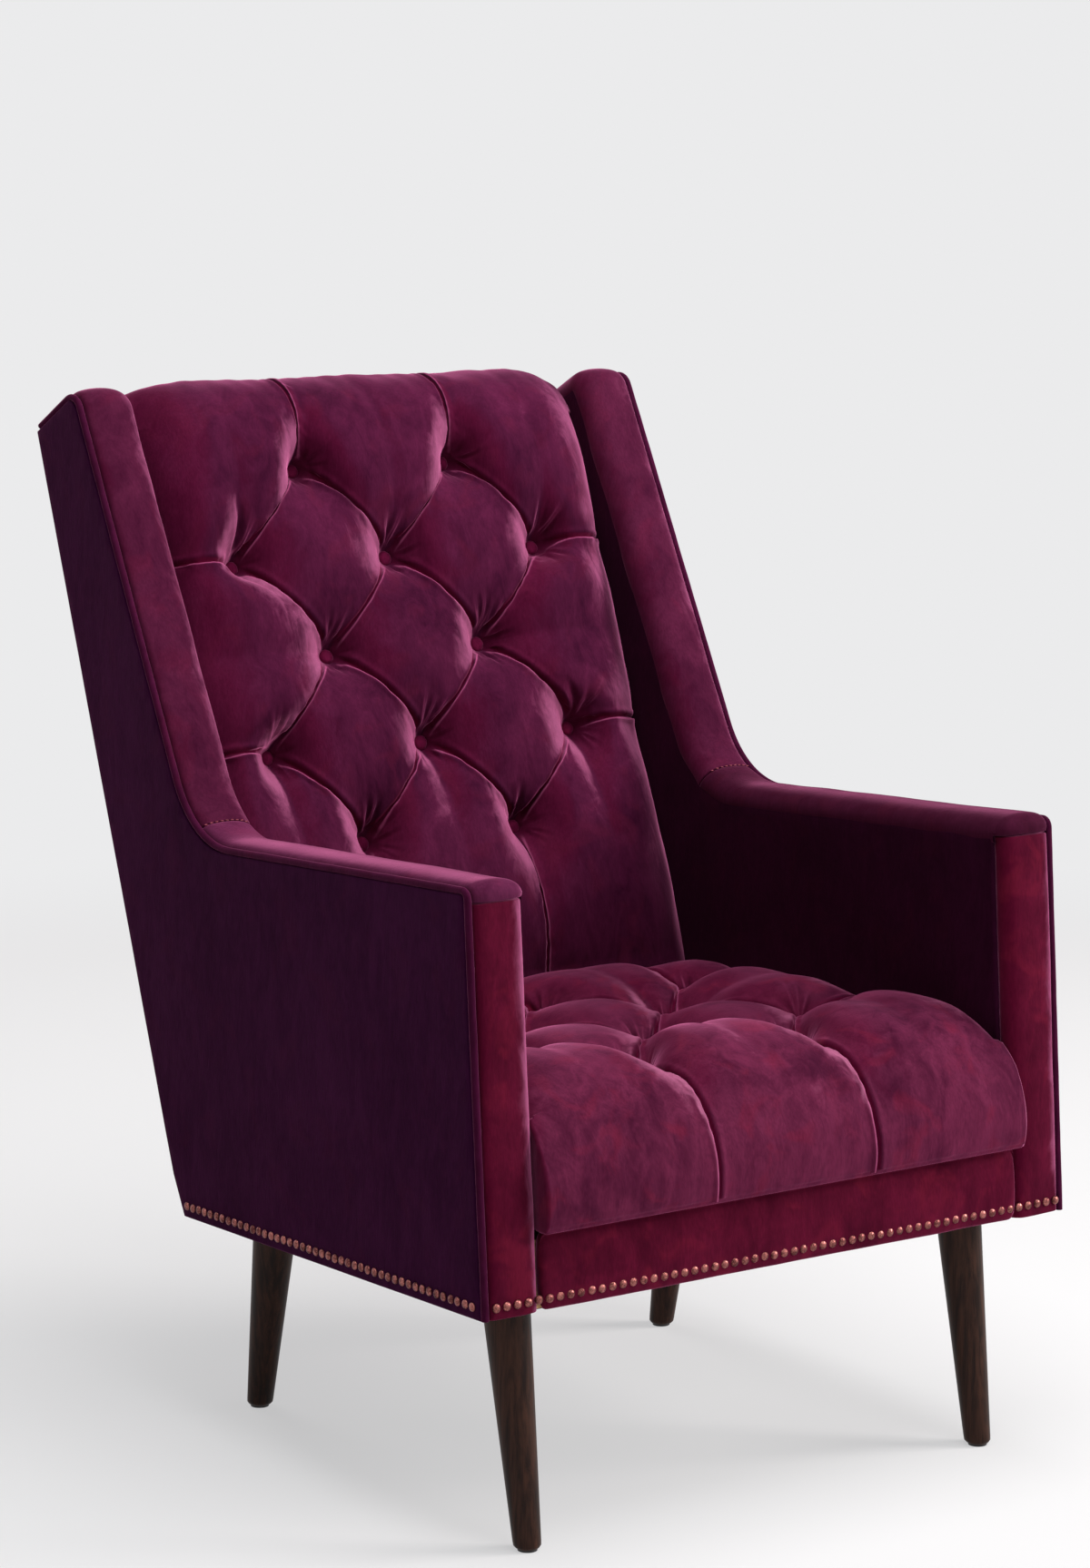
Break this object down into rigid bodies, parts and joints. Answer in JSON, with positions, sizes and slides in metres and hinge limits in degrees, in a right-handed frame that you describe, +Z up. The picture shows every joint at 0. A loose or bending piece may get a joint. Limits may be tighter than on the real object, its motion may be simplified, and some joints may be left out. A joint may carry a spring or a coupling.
{
  "type": "tufted armchair",
  "caption": "High-backed upholstered armchair with sloping wings, diamond-tufted seat and back, piped side panels, nail-head trim and splayed tapered legs.",
  "frame": {"origin": "on the floor, below the middle of the chair's outer box", "axes": "+Z up, the seat opens towards -Y, +X to the right as seen from the front"},
  "size_m": [0.7448, 0.8956, 1.1033],
  "materials": {
    "velvet": "plum cotton velvet, short pile with nap marks",
    "frame_timber": "planed hardwood, unfinished",
    "lining_board": "hardboard",
    "webbing": "woven elastic webbing",
    "foam": "upholstery foam",
    "leg_wood": "espresso stain, satin lacquer",
    "steel": "zinc plated",
    "glide_plastic": "black",
    "dust_cloth": "black non-woven cloth",
    "nail_copper": "antique copper, worn highlights"
  },
  "bodies": {
    "root": {"arm_front_band_left": "velvet", "arm_front_band_right": "velvet", "arm_post_left": "frame_timber", "arm_post_right": "frame_timber", "arm_rail_left": "frame_timber", "arm_rail_right": "frame_timber", "arm_top_band_left": "velvet", "arm_top_band_right": "velvet", "back_buttons": "velvet", "back_foam_base": "foam", "back_lower_rail": "frame_timber", "back_post_left": "frame_timber", "back_post_right": "frame_timber", "back_top_rail": "frame_timber", "back_tufted_pad": "velvet", "back_webbing": "webbing", "corner_blocks": "frame_timber", "dust_cover": "dust_cloth", "front_apron": "velvet", "front_rail": "frame_timber", "glides": "glide_plastic", "hanger_bolts": "steel", "inner_board_left": "lining_board", "inner_board_right": "lining_board", "inner_panel_left": "velvet", "inner_panel_right": "velvet", "leg_front_left": "leg_wood", "leg_front_right": "leg_wood", "leg_rear_left": "leg_wood", "leg_rear_right": "leg_wood", "nail_trim_front": "nail_copper", "nail_trim_left": "nail_copper", "nail_trim_right": "nail_copper", "outer_panel_left": "velvet", "outer_panel_right": "velvet", "outside_back_panel": "velvet", "rear_rail": "frame_timber", "seat_buttons": "velvet", "seat_foam_base": "foam", "seat_tufted_pad": "velvet", "seat_webbing": "webbing", "side_rail_left": "frame_timber", "side_rail_right": "frame_timber", "welt_left": "velvet", "welt_right": "velvet", "wing_front_band_left": "velvet", "wing_front_band_right": "velvet", "wing_post_left": "frame_timber", "wing_post_right": "frame_timber"}
  },
  "joints": []
}
